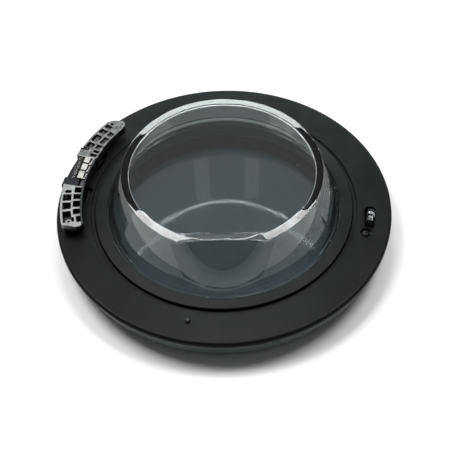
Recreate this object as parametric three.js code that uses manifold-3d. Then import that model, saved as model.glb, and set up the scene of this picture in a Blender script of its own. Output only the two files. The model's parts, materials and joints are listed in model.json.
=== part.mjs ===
// Round porthole door of a front-loading washing machine, lying on its front face.
// Millimetres. +Z points from the door's front face towards the drum, +X towards the latch,
// -X towards the hinge, whose pin runs along Y. The origin is the centre of the front face.
import * as THREE from "three";
import { mergeVertices } from "three/addons/utils/BufferGeometryUtils.js";
import Module from "manifold-3d";

const wasm = await Module();
wasm.setup();

// ---------------------------------------------------------------- driving dimensions
const GAP = 0.3; // clearance kept between pieces that touch
const RING_SEGMENTS = 48; // facets of every large ring

const DOOR_R = 235; // outer radius of the back ring
const PLATE_Z = 44; // height of the back ring's flat face over the front face
const PLATE_T = 2.8; // wall of the back ring
const PLATE_UNDER = PLATE_Z - PLATE_T;
const GLASS_OPENING_R = 163; // inner lip of the back ring
const SKIRT = { inner: 219.5, outer: 222, foot: 24 }; // wall that plugs into the front ring

const BOWL = {
  height: 75, // flat face of the bowl over the back ring's face
  flangeR: 176,
  baseR: 157, // wall of the cone just over the fillet
  baseZ: PLATE_Z + 8,
  cornerR: 136.5, // where the cone would meet the flat face
  edge: 2.6, // rounding of that corner
  cavityEdge: 16, // the same inside the bowl
  wall: 5.2,
};
const BOWL_TOP = PLATE_Z + BOWL.height;
const CONE_LEAN = Math.atan((BOWL.baseR - BOWL.cornerR) / (BOWL_TOP - BOWL.baseZ));
// Flat cut across the near side of the bowl: its distance from the axis at the height of the flat
// face, and its lean from upright in degrees. The cavity's own cut leaves thicker glass at the top.
const FACET = { heading: 283, reach: 124.2, lean: 26.6, cavityReach: 112.5, cavityLean: 31.8 };

const PIN = { x: -217.5, z: PLATE_Z + 13, r: 3, y0: -32.4, y1: 52.2 }; // hinge pin, along Y
const LEAF = {
  outer: 227,
  inner: 197.2,
  z0: PLATE_Z + 8,
  z1: PLATE_Z + 20,
  floor: 2.6, // metal left under the deep pockets
  shallow: 4, // depth of the upper lattice
};
// columns of pockets between the leaf's two rims, either side of its spine
const OUTER_COLUMN = [211.9, 224.6];
const INNER_COLUMN = [199.3, 209.8];
// the two arms of the bracket: Y span and radius of the head round the pin
const ARMS = [
  { y0: -24.5, y1: -10.5, head: 12.5 },
  { y0: 45, y1: 49.5, head: 8.5 },
];
// Y spans of the notches in the back ring that the arms come up through
const NOTCHES = [
  [-36, -8.5],
  [26, 61],
];
const ARM_GAP = 0.6; // between an arm and the leaf, along Y
const ARM_TOP = PIN.z + 5.5;
const BAY = { y0: -10.5, y1: 31.2, x: -211.2 }; // open bay of the leaf, with the spring in it
// Y spans of the leaf's two knuckles
const KNUCKLES = [
  [-30.6, ARMS[0].y0 - ARM_GAP - 0.2],
  [BAY.y1, ARMS[1].y0 - ARM_GAP],
];
const KNUCKLE_R = 7;
const BUSH_R = 4.6;
const CLIP = { r: 5.2, t: 1 }; // retaining clips on the pin's two ends
const STOP = { x0: -203.7, x1: -199.2, z0: PIN.z, z1: ARM_TOP }; // rubber stop on the leaf
const BRACKET = { inner: 199.5, outer: 218.5, z0: 34, z1: PLATE_UNDER - GAP, yLow: -54, yHigh: 79 };
const BRACKET_SCREWS = [
  [-204.4, -45],
  [-206, 4],
  [-206, 20],
  [-198.5, 70],
];

const LATCH = { x: 205.5, y: 9, pivotZ: 27, top: PLATE_Z + 22, blade: 4, width: 11, pinR: 2 };
const LATCH_CASE = { x0: 199, x1: 210, y0: -17, y1: 41, z0: 17, slotY0: 3, slotY1: 15.4 };
const LATCH_SCREW = [202.6, -9.2];
const BUFFER = { y: -203, r: 3.2 };
const GRIP = { depthR: 217, wall: 2, halfAngle: 14, z0: 9, z1: 33 }; // finger recess

const RETAINER_SCREWS = { count: 8, radius: 192.5, start: 22.5 };
const SNAPS = { count: 8, start: 36, pitch: 41.14, width: 12, z: 26 };

// ---------------------------------------------------------------- materials
const paint = (color, roughness, metalness = 0) =>
  new THREE.MeshStandardMaterial({ color, roughness, metalness });
const MAT = {
  trim: paint(0x2b2e31, 0.25),
  plastic: paint(0x24282b, 0.5),
  inner: paint(0x3a3d40, 0.6),
  glass: paint(0xc8d4d6, 0.03),
  screen: paint(0x3b454a, 0.08),
  rubber: paint(0x1c1d1e, 0.85),
  casting: paint(0x9a9fa0, 0.4, 1),
  bracket: paint(0x23262a, 0.45, 0.3),
  steel: paint(0xb9bec2, 0.25, 1),
  nylon: paint(0xd9d6cb, 0.5),
};

// ---------------------------------------------------------------- geometry helpers
const rad = THREE.MathUtils.degToRad;
const polar = (r, degrees) => [r * Math.cos(rad(degrees)), r * Math.sin(rad(degrees))];

// Turns a three.js geometry into a solid: shared vertices merged, faces pointing out.
function solid(geometry) {
  const bare = geometry.index ? geometry.toNonIndexed() : geometry.clone();
  bare.deleteAttribute("normal");
  bare.deleteAttribute("uv");
  const merged = mergeVertices(bare, 1e-4);
  const p = merged.attributes.position.array;
  const tri = [];
  let volume = 0;
  for (let i = 0; i < merged.index.count; i += 3) {
    const [a, b, c] = [0, 1, 2].map((k) => merged.index.array[i + k]);
    if (a === b || b === c || a === c) continue;
    tri.push(a, b, c);
    const [u, v, w] = [a, b, c].map((k) => new THREE.Vector3().fromArray(p, 3 * k));
    volume += u.dot(v.cross(w));
  }
  if (volume < 0) tri.reverse();
  return new wasm.Manifold(
    new wasm.Mesh({
      numProp: 3,
      vertProperties: new Float32Array(p),
      triVerts: new Uint32Array(tri),
    }),
  );
}

// Body of revolution about Z from a list of [radius, height].
function revolve(profile, segments = RING_SEGMENTS) {
  const points = profile.map(([r, z]) => new THREE.Vector2(r, z));
  return solid(new THREE.LatheGeometry(points, segments).rotateX(Math.PI / 2));
}

// The same for a profile that encloses a ring and never meets the axis.
function revolveRing(profile, segments = RING_SEGMENTS) {
  return revolve([...profile, profile[0]], segments);
}

function shapeOf(points) {
  return new THREE.Shape(points.map(([x, y]) => new THREE.Vector2(x, y)));
}

// Prism with a plan outline in XY, between two heights.
function slab(outline, z0, z1, curveSegments = 12) {
  const shape = outline instanceof THREE.Shape ? outline : shapeOf(outline);
  const geometry = new THREE.ExtrudeGeometry(shape, { depth: z1 - z0, bevelEnabled: false, curveSegments });
  return solid(geometry.translate(0, 0, z0));
}

// Prism with a side outline in XZ, between two Y positions.
function sideSlab(outline, y0, y1, curveSegments = 12) {
  const shape = outline instanceof THREE.Shape ? outline : shapeOf(outline);
  const geometry = new THREE.ExtrudeGeometry(shape, { depth: y1 - y0, bevelEnabled: false, curveSegments });
  return solid(geometry.rotateX(Math.PI / 2).translate(0, y1, 0));
}

function box(x0, x1, y0, y1, z0, z1) {
  const geometry = new THREE.BoxGeometry(x1 - x0, y1 - y0, z1 - z0);
  return solid(geometry.translate((x0 + x1) / 2, (y0 + y1) / 2, (z0 + z1) / 2));
}

// Upright cylinder.
function post(x, y, r, z0, z1, segments = 16) {
  const geometry = new THREE.CylinderGeometry(r, r, z1 - z0, segments).rotateX(Math.PI / 2);
  return solid(geometry.translate(x, y, (z0 + z1) / 2));
}

// Cylinder along Y.
function rod(x, z, r, y0, y1, segments = 20) {
  const geometry = new THREE.CylinderGeometry(r, r, y1 - y0, segments);
  return solid(geometry.translate(x, (y0 + y1) / 2, z));
}

// Sector of a ring in plan, as an outline.
function sector(r0, r1, a0, a1, steps = 8) {
  const outline = [];
  for (let i = 0; i <= steps; i++) outline.push(polar(r1, a0 + ((a1 - a0) * i) / steps));
  for (let i = steps; i >= 0; i--) outline.push(polar(r0, a0 + ((a1 - a0) * i) / steps));
  return outline;
}

function toMesh(name, manifold, material) {
  const { vertProperties, triVerts } = manifold.getMesh();
  const geometry = new THREE.BufferGeometry();
  geometry.setAttribute("position", new THREE.BufferAttribute(vertProperties, 3));
  geometry.setIndex(new THREE.BufferAttribute(triVerts, 1));
  geometry.computeVertexNormals();
  const mesh = new THREE.Mesh(geometry, material);
  mesh.name = name;
  return mesh;
}

// Turns a solid about the Z axis through the origin.
const turned = (manifold, degrees) => manifold.rotate([0, 0, degrees]);

// ---------------------------------------------------------------- rings and glass
function frontRing() {
  let ring = revolveRing([
    [228.5, 35.4], [227.5, 22], [225.5, 11], [223, 6], [219, 2], [213, 0.3], [208, 0],
    [184, 0], [166, 2.6], [166, 4.1], [175, 4.1], [175, 9.5], [177.5, 9.5], [177.5, 2.8],
    [212, 2.8], [217.5, 4.4], [220.8, 7.6], [222.9, 12], [224.9, 22.3], [225.9, 35.4],
  ]);
  const { depthR, wall, halfAngle, z0, z1 } = GRIP;
  const edge = 0.6; // the recess's side walls reach this many degrees past it
  const block = sector(depthR - wall, 225.4, -halfAngle - edge, halfAngle + edge);
  ring = ring.add(slab(block, z0 - wall, z1));
  ring = ring.subtract(slab(sector(depthR, 240, -halfAngle, halfAngle), z0, z1 + 10));
  for (let i = 0; i < SNAPS.count; i++) {
    const ledge = box(222.6, 225.6, -SNAPS.width / 2, SNAPS.width / 2, SNAPS.z + 2, SNAPS.z + 4);
    ring = ring.add(turned(ledge, SNAPS.start + i * SNAPS.pitch));
  }
  return ring;
}

function frontScreen() {
  return revolve([
    [0, 0.9], [80, 1.7], [130, 3], [164, 4.4], [173.5, 4.4],
    [173.5, 7.6], [164, 7.6], [130, 6.2], [80, 4.9], [0, 4.1],
  ]);
}

function backRing() {
  let ring = revolveRing([
    [GLASS_OPENING_R, 45.4], [GLASS_OPENING_R, 47.3], [165, 47.9], [180.2, 46.2],
    [181, 44.8], [181.6, 41.4], [186.4, 41.4], [187.2, PLATE_Z],
    [230, PLATE_Z], [233.6, 42.8], [DOOR_R, 40], [234, 36.8], [231.8, 36.2],
    [229.6, PLATE_UNDER],
    [SKIRT.outer, PLATE_UNDER], [SKIRT.outer, SKIRT.foot], [SKIRT.inner, SKIRT.foot],
    [SKIRT.inner, PLATE_UNDER], [188.5, PLATE_UNDER], [188, 38.6], [179.3, 38.6],
    [179.3, 44.3], [166.5, 44.4],
  ]);
  for (let i = 0; i < SNAPS.count; i++) {
    const barb = sideSlab(
      [[221.5, SNAPS.z + 1.6], [223.9, SNAPS.z + 1.6], [221.5, SNAPS.z - 2]],
      -SNAPS.width / 2 + 1,
      SNAPS.width / 2 - 1,
    );
    ring = ring.add(turned(barb, SNAPS.start + i * SNAPS.pitch));
  }
  for (let i = 0; i < RETAINER_SCREWS.count; i++) {
    const [x, y] = polar(RETAINER_SCREWS.radius, RETAINER_SCREWS.start + (i * 360) / RETAINER_SCREWS.count);
    ring = ring.add(post(x, y, 4.2, 37.6, PLATE_UNDER + 0.5));
    ring = ring.subtract(post(x, y, 1.9, 30, 43, 10));
  }
  // the skirt stops either side of the finger recess
  const { depthR, wall, halfAngle, z1 } = GRIP;
  const opening = sector(depthR - wall - 1, 229, -halfAngle - 1.2, halfAngle + 1.2);
  ring = ring.subtract(slab(opening, 20, PLATE_UNDER));
  // notches for the hinge arms, and the holes of the bracket's screws
  for (const [y0, y1] of NOTCHES) ring = ring.subtract(box(-213, -190, y0, y1, 38, 46));
  for (const [x, y] of BRACKET_SCREWS) ring = ring.subtract(post(x, y, 2.4, 38, 46, 12));
  // latch opening: a slot with one round end, and the countersunk screw beside it
  const slot = new THREE.Shape();
  slot.moveTo(194.6, 1.5);
  slot.lineTo(211.4, 1.5);
  slot.lineTo(211.4, 30);
  slot.absarc(203, 30, 8.4, 0, Math.PI, false);
  ring = ring.subtract(slab(slot, 38, 46, 10));
  const [sx, sy] = LATCH_SCREW;
  ring = ring.add(post(sx, sy, 9.6, 38.6, PLATE_UNDER + 0.5));
  ring = ring.subtract(post(sx, sy, 7.6, 40.6, 46, 20)).subtract(post(sx, sy, 2.6, 38, 46, 12));
  return ring.subtract(post(0, BUFFER.y, BUFFER.r + 0.4, 38, 46, 14));
}

// Radius of the bowl's cone at a height, inset by a wall thickness.
const coneR = (z, inset) =>
  BOWL.baseR - (z - BOWL.baseZ) * Math.tan(CONE_LEAN) - inset / Math.cos(CONE_LEAN);

// Arc that turns the cone into the flat face, from the cone up.
function crown(cornerR, topZ, radius, steps) {
  const centreR = cornerR - radius * Math.tan((Math.PI / 2 - CONE_LEAN) / 2);
  const arc = [];
  for (let i = 0; i <= steps; i++) {
    const a = CONE_LEAN + ((Math.PI / 2 - CONE_LEAN) * i) / steps;
    arc.push([centreR + radius * Math.cos(a), topZ - radius + radius * Math.sin(a)]);
  }
  return arc;
}

// Everything past a leaning plane on the facet's side of the bowl, above the flange.
function facetCut(reach, z, lean) {
  const depth = 90;
  const cut = new THREE.BoxGeometry(depth, 400, 400);
  cut.translate(depth / 2, 0, 0);
  cut.rotateY(-rad(lean));
  cut.translate(reach, 0, z);
  cut.rotateZ(rad(FACET.heading));
  return solid(cut).intersect(box(-400, 400, -400, 400, 46, 400));
}

function glassBowl() {
  const { flangeR, baseZ, cornerR, edge, cavityEdge, wall } = BOWL;
  const outside = revolve([
    [0, 37.6], [flangeR, 37.6], [flangeR, 42.6], [170, 42.6], [164, 43.4], [160.2, 45.6], [158, 48.8],
    [coneR(baseZ, 0), baseZ], ...crown(cornerR, BOWL_TOP, edge, 2), [0, BOWL_TOP],
  ]);
  const footZ = baseZ - wall / 2;
  const cavityTop = BOWL_TOP - wall;
  const cavity = revolve([
    [0, 30], [166, 30], [166, 37.6], [161, 38.4], [156.4, 41], [coneR(footZ, wall), footZ],
    ...crown(coneR(cavityTop, wall), cavityTop, cavityEdge, 4), [0, cavityTop],
  ]);
  const { reach, lean, cavityReach, cavityLean } = FACET;
  return outside
    .subtract(facetCut(reach, BOWL_TOP, lean))
    .subtract(cavity.subtract(facetCut(cavityReach, cavityTop, cavityLean)));
}

function bowlGasket() {
  return revolveRing([
    [170.5, 42.9], [176.4, 42.9], [176.4, 37.9], [178.8, 37.9], [178.8, 44], [170.5, 44],
  ]);
}

function glassRetainer() {
  let ring = revolveRing([
    [164.2, 10.9], [173, 10.9], [173, 13.1], [166.6, 13.1], [166.6, 33.9],
    [198, 33.9], [198, 37.3], [164.2, 37.3],
  ]);
  for (let i = 0; i < RETAINER_SCREWS.count; i++) {
    const [x, y] = polar(RETAINER_SCREWS.radius, RETAINER_SCREWS.start + (i * 360) / RETAINER_SCREWS.count);
    ring = ring.subtract(post(x, y, 2.1, 30, 40, 10));
  }
  return ring;
}

function screenGasket() {
  return revolveRing([[167, 7.9], [173, 7.9], [173, 10.6], [167, 10.6]]);
}

// ---------------------------------------------------------------- screws and springs
// Screw with its head up, or down when flip is true; z is where the head seats.
function screw(x, y, z, { head, headH, shank, length, flip = false }) {
  const profile = [[0, -length], [shank, -length], [shank, 0], [head, 0], [head, headH * 0.55],
    [head * 0.6, headH], [0, headH]];
  const body = revolve(profile, 10);
  return (flip ? body.rotate([180, 0, 0]) : body).translate([x, y, z]);
}

// Coil spring around an axis along Y.
function coil({ x, z, r, wire, y0, y1, turns, steps = 10, sides = 6 }) {
  const points = [];
  const count = turns * steps;
  for (let i = 0; i <= count; i++) {
    const a = (2 * Math.PI * i) / steps;
    const y = y0 + wire + ((y1 - y0 - 2 * wire) * i) / count;
    points.push(new THREE.Vector3(x + r * Math.cos(a), y, z + r * Math.sin(a)));
  }
  const path = new THREE.CatmullRomCurve3(points);
  const section = new THREE.Shape();
  section.absarc(0, 0, wire / 2, 0, 2 * Math.PI, false);
  const geometry = new THREE.ExtrudeGeometry(section, {
    steps: count, curveSegments: sides / 2, bevelEnabled: false, extrudePath: path,
  });
  return solid(geometry);
}

// ---------------------------------------------------------------- hinge
// Bracket inside the door: a stretch of ring with two arms that stand up to the pin.
function hingeBracket() {
  const { inner, outer, z0, z1, yLow, yHigh } = BRACKET;
  const band = slab(sector(inner, outer, 150, 200, 16), z0, z1);
  let bracket = band.intersect(box(-230, -150, yLow, yHigh, 0, 60));
  for (const { y0, y1, head } of ARMS) {
    const web = [[-211.8, z0 + 1], [-200.2, z0 + 1], [-200.2, 44.5], [-206.5, 49.8], [-211.5, 52.4],
      [-217, 52.4], [-211.8, 46.5]];
    const disc = rod(PIN.x, PIN.z, head, y0, y1, 28);
    bracket = bracket.add(sideSlab(web, y0, y1)).add(disc);
    bracket = bracket.subtract(box(-240, -190, y0 - 1, y1 + 1, ARM_TOP, 90));
  }
  bracket = bracket.subtract(rod(PIN.x, PIN.z, PIN.r + GAP, PIN.y0 - 5, PIN.y1 + 5));
  for (const [x, y] of BRACKET_SCREWS) bracket = bracket.subtract(post(x, y, 2.3, 30, 60, 12));
  return bracket;
}

// Plan outline of the cabinet leaf: a stretch of ring, cut straight at the low end and rounded
// to a tip at the high end.
function leafOutline() {
  const { outer, inner } = LEAF;
  const outline = new THREE.Shape();
  outline.moveTo(...polar(outer, 152.2));
  outline.absarc(0, 0, outer, rad(152.2), rad(204.4), false);
  outline.quadraticCurveTo(-205.4, -97.2, -202, -97.2);
  outline.lineTo(-188.5, -97.2);
  outline.quadraticCurveTo(-179.4, -97.2, ...polar(inner, 206.6));
  outline.absarc(0, 0, inner, rad(206.6), rad(170.5), true);
  outline.quadraticCurveTo(-191.9, 55.9, -186.4, 71);
  outline.lineTo(-176.4, 94.6);
  outline.quadraticCurveTo(-170.5, 109.2, -179, 111.6);
  outline.quadraticCurveTo(-190, 114, ...polar(outer, 152.2));
  return outline;
}

// The waffle of pockets in the leaf's upper face: [outline in plan, height of the floor].
function leafPockets() {
  const deep = LEAF.z0 + LEAF.floor;
  const shallow = LEAF.z1 - LEAF.shallow;
  const pockets = [];
  const cut = (column, spans, floor) => {
    for (const [a0, a1] of spans) pockets.push([sector(...column, a0, a1, 3), floor]);
  };
  // ladder of the lower stretch, with an angled end cell round the boss
  cut(INNER_COLUMN, [[187.5, 190.5], [191, 193.8], [194.5, 197.8], [198.6, 201.5]], deep);
  cut(OUTER_COLUMN, [[191.2, 194.5], [195.2, 198.6], [199.4, 205]], deep);
  cut([INNER_COLUMN[0], 206.2], [[202.4, 205.6]], deep);
  cut([208.4, OUTER_COLUMN[0] + 1], [[202.6, 205]], deep);
  // two small cells beside the first knuckle, split by a slanting rib
  pockets.push([[polar(213, 189), polar(222.5, 189.2), polar(222.5, 190.7), polar(213, 190.7)], deep]);
  // upper stretch: shallow cells, a deep slot along the outer rim and a deep nook at each rib
  cut([212.6, 224.4], [[153, 155.1], [155.9, 158.5], [159.4, 163.2], [164, 166.8]], shallow);
  cut([201.8, 210.2], [[155.4, 158.1], [158.9, 162.9], [163.7, 166.2]], shallow);
  cut([222.2, 224.4], [[156.3, 158], [160.3, 162.6], [164.3, 166.5]], deep);
  cut([213.4, 217.6], [[155.9, 156.8], [159.4, 160.4], [164, 165]], deep);
  cut([201.8, 205.6], [[155.4, 156.3], [158.9, 159.9], [163.7, 164.8]], deep);
  cut([200, 208.6], [[166.9, 168.2]], deep);
  cut([199.4, 209.5], [[168.8, 170.7]], shallow);
  return pockets;
}

function hingeLeaf() {
  const { z0, z1, floor, shallow } = LEAF;
  const deep = z0 + floor;
  let leaf = slab(leafOutline(), z0, z1, 20);
  for (const [outline, bottom] of leafPockets()) leaf = leaf.subtract(slab(outline, bottom, z1 + 5));
  // holes of the tip, the widest of them threaded, and the low end's boss with its thread
  const holes = [[218.6, 152, 2.1], [207, 149.5, 1.2], [204.8, 151, 1.3], [209.6, 151.9, 1.1]];
  for (const [r, a, size] of holes) leaf = leaf.subtract(post(...polar(r, a), size, z1 - shallow, 90, 12));
  const boss = polar(216.5, 204);
  leaf = leaf.add(post(...boss, 4.4, z0 + 1, z1 - 3)).subtract(post(...boss, 2.1, deep, 90, 12));
  // room for the arms, the stop and the spring
  for (const { y0, y1, head } of ARMS) {
    leaf = leaf.subtract(rod(PIN.x, PIN.z, head + 0.9, y0 - ARM_GAP, y1 + ARM_GAP, 32));
    leaf = leaf.subtract(box(-240, PIN.x, y0 - ARM_GAP, y1 + ARM_GAP, 40, 90));
  }
  leaf = leaf.subtract(box(-214, STOP.x1 + GAP, ARMS[0].y0 - ARM_GAP, ARMS[0].y1 + ARM_GAP, STOP.z0, 90));
  leaf = leaf.subtract(box(-240, BAY.x, BAY.y0, BAY.y1, 40, 90));
  // knuckles on the pin, with a bore along the lower ribs through which the pin is driven in
  for (const [y0, y1] of KNUCKLES) {
    const web = [[PIN.x, PIN.z - 5], [-209, z0], [-209, z1 - 1], [PIN.x, PIN.z + KNUCKLE_R]];
    leaf = leaf.add(rod(PIN.x, PIN.z, KNUCKLE_R, y0, y1, 24)).add(sideSlab(web, y0, y1));
    leaf = leaf.subtract(rod(PIN.x, PIN.z, BUSH_R + GAP, y0 - 0.4, y1 + 0.4, 24));
  }
  leaf = leaf.subtract(rod(PIN.x, PIN.z, PIN.r + 0.5, -75, PIN.y1 + 1));
  for (const y of clipPlaces()) leaf = leaf.subtract(rod(PIN.x, PIN.z, CLIP.r + 0.8, y - 0.4, y + 2.2));
  // three machined pads beside the spring, and a row of small cells behind them
  for (const y of [5.5, 19.5]) leaf = leaf.subtract(box(-213, -203.2, y - 1.3, y + 1.3, deep, 90));
  leaf = leaf.subtract(box(-203.2, -201.7, -8.4, 29.8, deep, 90));
  for (const y of [-1.5, 12.5, 25.5]) leaf = leaf.subtract(box(-203, -199, y - 5, y + 5, z1 - 2.5, 90));
  return leaf;
}

// Rubber stop that lies on the leaf's narrow strip beside the first arm.
function leafStop() {
  const { x0, x1, z0, z1 } = STOP;
  return box(x0, x1, ARMS[0].y0 + 0.3, ARMS[0].y1 - 0.3, z0 + 0.05, z1);
}

// Y positions where the two retaining clips start: outside the first knuckle and the second arm.
function clipPlaces() {
  return [KNUCKLES[0][0] - GAP - CLIP.t, ARMS[1].y1 + GAP];
}

// C-shaped clip, open towards the drum side.
function pinClip(y) {
  const washer = rod(PIN.x, PIN.z, CLIP.r, y, y + CLIP.t, 16);
  const mouth = box(PIN.x - 1.8, PIN.x + 1.8, y - 1, y + CLIP.t + 1, PIN.z, PIN.z + 8);
  return washer.subtract(rod(PIN.x, PIN.z, PIN.r + GAP, y - 1, y + CLIP.t + 1)).subtract(mouth);
}

function hingeBush([y0, y1]) {
  const tube = rod(PIN.x, PIN.z, BUSH_R, y0, y1, 24);
  return tube.subtract(rod(PIN.x, PIN.z, PIN.r + GAP, y0 - 1, y1 + 1));
}

// ---------------------------------------------------------------- latch
function latchCase() {
  const { x0, x1, y0, y1, z0, slotY0, slotY1 } = LATCH_CASE;
  let body = box(x0, x1, y0, y1, z0 + 12, PLATE_UNDER - 2.9);
  body = body.add(box(x0, x1, slotY0 - 4, slotY1 + 4, z0, PLATE_UNDER - 2.9));
  body = body.add(box(x0, x1, slotY1 + 4, y1, 34, PLATE_UNDER - GAP));
  body = body.subtract(box(x0 - 1, x1 + 1, slotY0, slotY1, z0 + 2.4, 60));
  body = body.subtract(rod(LATCH.x, LATCH.pivotZ, LATCH.pinR + GAP, slotY0 - 3, slotY1 + 5));
  body = body.add(box(x1 - 2.6, x1, slotY0 - 1, slotY1 + 1, z0, 22));
  return body.subtract(post(...LATCH_SCREW, 1.9, 24, 60, 12));
}

function latchHook() {
  const { x, y, pivotZ, top, width, blade } = LATCH;
  const half = width / 2;
  const lever = new THREE.Shape();
  lever.moveTo(x - 4, pivotZ - 1);
  lever.absarc(x, pivotZ, 4.2, Math.PI * 1.05, Math.PI * 1.95, false);
  lever.lineTo(x + 4, PLATE_Z - 6);
  lever.lineTo(x + half - 0.6, PLATE_Z);
  lever.lineTo(x + half, top - 6);
  lever.lineTo(x + half - 2.6, top);
  lever.lineTo(x - half + 2.6, top);
  lever.lineTo(x - half, top - 6);
  lever.lineTo(x - half + 0.6, PLATE_Z);
  lever.lineTo(x - 4, PLATE_Z - 6);
  const y0 = y - blade / 2;
  const y1 = y + blade / 2;
  let hook = sideSlab(lever, y0, y1);
  const window = [x - half + 2.2, x + half - 2.2, y0 - 1, y1 + 1, top - 9.4, top - 3];
  hook = hook.subtract(box(...window));
  // striker tooth in front of the window's sill
  const tooth = sideSlab([[x - 3.6, top - 16], [x + 3.6, top - 16], [x + 3.6, top - 10], [x - 3.6, top - 10]],
    y0 - 3.4, y0 + 0.5);
  hook = hook.add(tooth);
  return hook.subtract(rod(x, pivotZ, LATCH.pinR + GAP, y0 - 1, y1 + 1));
}

// ---------------------------------------------------------------- assembly
const door = new THREE.Group();
const leafGroup = new THREE.Group();
const hookGroup = new THREE.Group();

door.add(
  toMesh("front_ring", frontRing(), MAT.trim),
  toMesh("front_screen", frontScreen(), MAT.screen),
  toMesh("screen_gasket", screenGasket(), MAT.rubber),
  toMesh("back_ring", backRing(), MAT.plastic),
  toMesh("glass_bowl", glassBowl(), MAT.glass),
  toMesh("bowl_gasket", bowlGasket(), MAT.rubber),
  toMesh("glass_retainer", glassRetainer(), MAT.inner),
  toMesh("hinge_bracket", hingeBracket(), MAT.bracket),
  toMesh("hinge_pin", rod(PIN.x, PIN.z, PIN.r, PIN.y0, PIN.y1), MAT.steel),
  toMesh("latch_case", latchCase(), MAT.inner),
);

const retainerScrew = { head: 4, headH: 2.2, shank: 1.5, length: 8.4, flip: true };
for (let i = 0; i < RETAINER_SCREWS.count; i++) {
  const [x, y] = polar(RETAINER_SCREWS.radius, RETAINER_SCREWS.start + (i * 360) / RETAINER_SCREWS.count);
  door.add(toMesh(`retainer_screw_${i + 1}`, screw(x, y, 33.9 - GAP, retainerScrew), MAT.steel));
}

const bracketScrew = { head: 4.4, headH: 2.6, shank: 1.9, length: 9 };
BRACKET_SCREWS.forEach(([x, y], i) => {
  door.add(toMesh(`bracket_screw_${i + 1}`, screw(x, y, PLATE_Z + GAP, bracketScrew), MAT.steel));
});

const latchScrew = { head: 4.8, headH: 2.6, shank: 1.5, length: 12 };
door.add(toMesh("latch_screw", screw(...LATCH_SCREW, 40.6 + GAP, latchScrew), MAT.steel));

const { y: hookY, blade, x: hookX, pivotZ, pinR } = LATCH;
const latchPin = rod(hookX, pivotZ, pinR, LATCH_CASE.slotY0 - 2.6, LATCH_CASE.slotY1 + 3.6);
door.add(toMesh("latch_pin", latchPin, MAT.steel));
const latchSpring = coil({
  x: hookX, z: pivotZ, r: 3.5, wire: 0.9, y0: hookY + blade / 2 + 0.3, y1: LATCH_CASE.slotY1 - 0.3, turns: 2,
});
door.add(toMesh("latch_spring", latchSpring, MAT.steel));

const hingeSpring = coil({
  x: PIN.x, z: PIN.z, r: 4.4, wire: 1.5, y0: BAY.y0 + 0.6, y1: BAY.y1 - 0.6, turns: 9,
});
door.add(toMesh("hinge_spring", hingeSpring, MAT.steel));

clipPlaces().forEach((y, i) => door.add(toMesh(`pin_clip_${i + 1}`, pinClip(y), MAT.steel)));

const bufferProfile = [
  [0, 38], [5, 38], [5, 40.6], [BUFFER.r, 40.9], [BUFFER.r, 45.4], [2.2, 47.4], [0, 48],
];
door.add(toMesh("door_buffer", revolve(bufferProfile, 14).translate([0, BUFFER.y, 0]), MAT.rubber));
[[212, 198.5], [210, 155.5]].forEach(([r, a], i) => {
  const [x, y] = polar(r, a);
  const pad = post(x, y, 5, PLATE_Z + GAP, LEAF.z0 - GAP);
  door.add(toMesh(`leaf_buffer_${i + 1}`, pad, MAT.rubber));
});

leafGroup.add(
  toMesh("hinge_leaf", hingeLeaf(), MAT.casting),
  toMesh("hinge_bush_1", hingeBush(KNUCKLES[0]), MAT.nylon),
  toMesh("hinge_bush_2", hingeBush(KNUCKLES[1]), MAT.nylon),
  toMesh("leaf_stop", leafStop(), MAT.rubber),
);
hookGroup.add(toMesh("latch_hook", latchHook(), MAT.steel));

const assembly = new THREE.Group();
assembly.add(door, leafGroup, hookGroup);
export default assembly;
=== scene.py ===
"""Looks of a washing machine's porthole door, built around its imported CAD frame.

+Z from the door's front face towards the drum, +X towards the latch, -X the hinge. Shapes are laid
out in millimetres and stored in metres; materials and lamps are in metres.
"""

import json
import math

import bmesh
import bpy
from mathutils import Matrix, Vector


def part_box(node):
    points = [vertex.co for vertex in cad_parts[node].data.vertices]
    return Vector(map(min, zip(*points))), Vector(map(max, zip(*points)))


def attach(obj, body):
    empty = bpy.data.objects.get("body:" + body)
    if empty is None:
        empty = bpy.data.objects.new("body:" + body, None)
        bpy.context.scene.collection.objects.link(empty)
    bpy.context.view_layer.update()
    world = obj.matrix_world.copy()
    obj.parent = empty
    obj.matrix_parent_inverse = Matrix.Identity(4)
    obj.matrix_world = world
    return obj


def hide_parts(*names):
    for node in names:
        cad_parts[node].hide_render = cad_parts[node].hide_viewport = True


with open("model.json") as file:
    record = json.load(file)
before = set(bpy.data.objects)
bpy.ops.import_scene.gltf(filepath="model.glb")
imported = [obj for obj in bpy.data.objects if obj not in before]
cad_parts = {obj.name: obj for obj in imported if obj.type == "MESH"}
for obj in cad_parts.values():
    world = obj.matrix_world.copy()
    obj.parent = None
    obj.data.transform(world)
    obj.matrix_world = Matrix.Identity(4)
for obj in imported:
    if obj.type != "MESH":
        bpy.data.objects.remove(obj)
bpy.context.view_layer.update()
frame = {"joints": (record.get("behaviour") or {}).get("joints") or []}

MM = 0.001
JOINTS = {j["name"]: j for j in frame["joints"]}

# ---------------------------------------------------------------- places read from the frame, in mm
def box_mm(node):
    low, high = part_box(node)
    return [c / MM for c in low], [c / MM for c in high]


def centre_mm(node):
    """X and Y of the middle of a CAD node."""
    low, high = box_mm(node)
    return (low[0] + high[0]) / 2, (low[1] + high[1]) / 2


def joint_mm(name):
    """X and Z of a joint, whose axis lies along Y."""
    x, _, z = JOINTS[name]["pos_m"]
    return x / MM, z / MM


DOOR_R = box_mm("back_ring")[1][0]
PLATE_Z = box_mm("bracket_screw_1")[1][2] - 2.9  # the screw heads stand 2.9 above the ring's plate
PLATE_UNDER = PLATE_Z - 2.8  # the plate's underside
GLASS_TOP = box_mm("glass_bowl")[1][2]
PIN_X, PIN_Z = joint_mm("leaf_swing")
HOOK_X, HOOK_PIVOT_Z = joint_mm("hook_rock")


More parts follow.
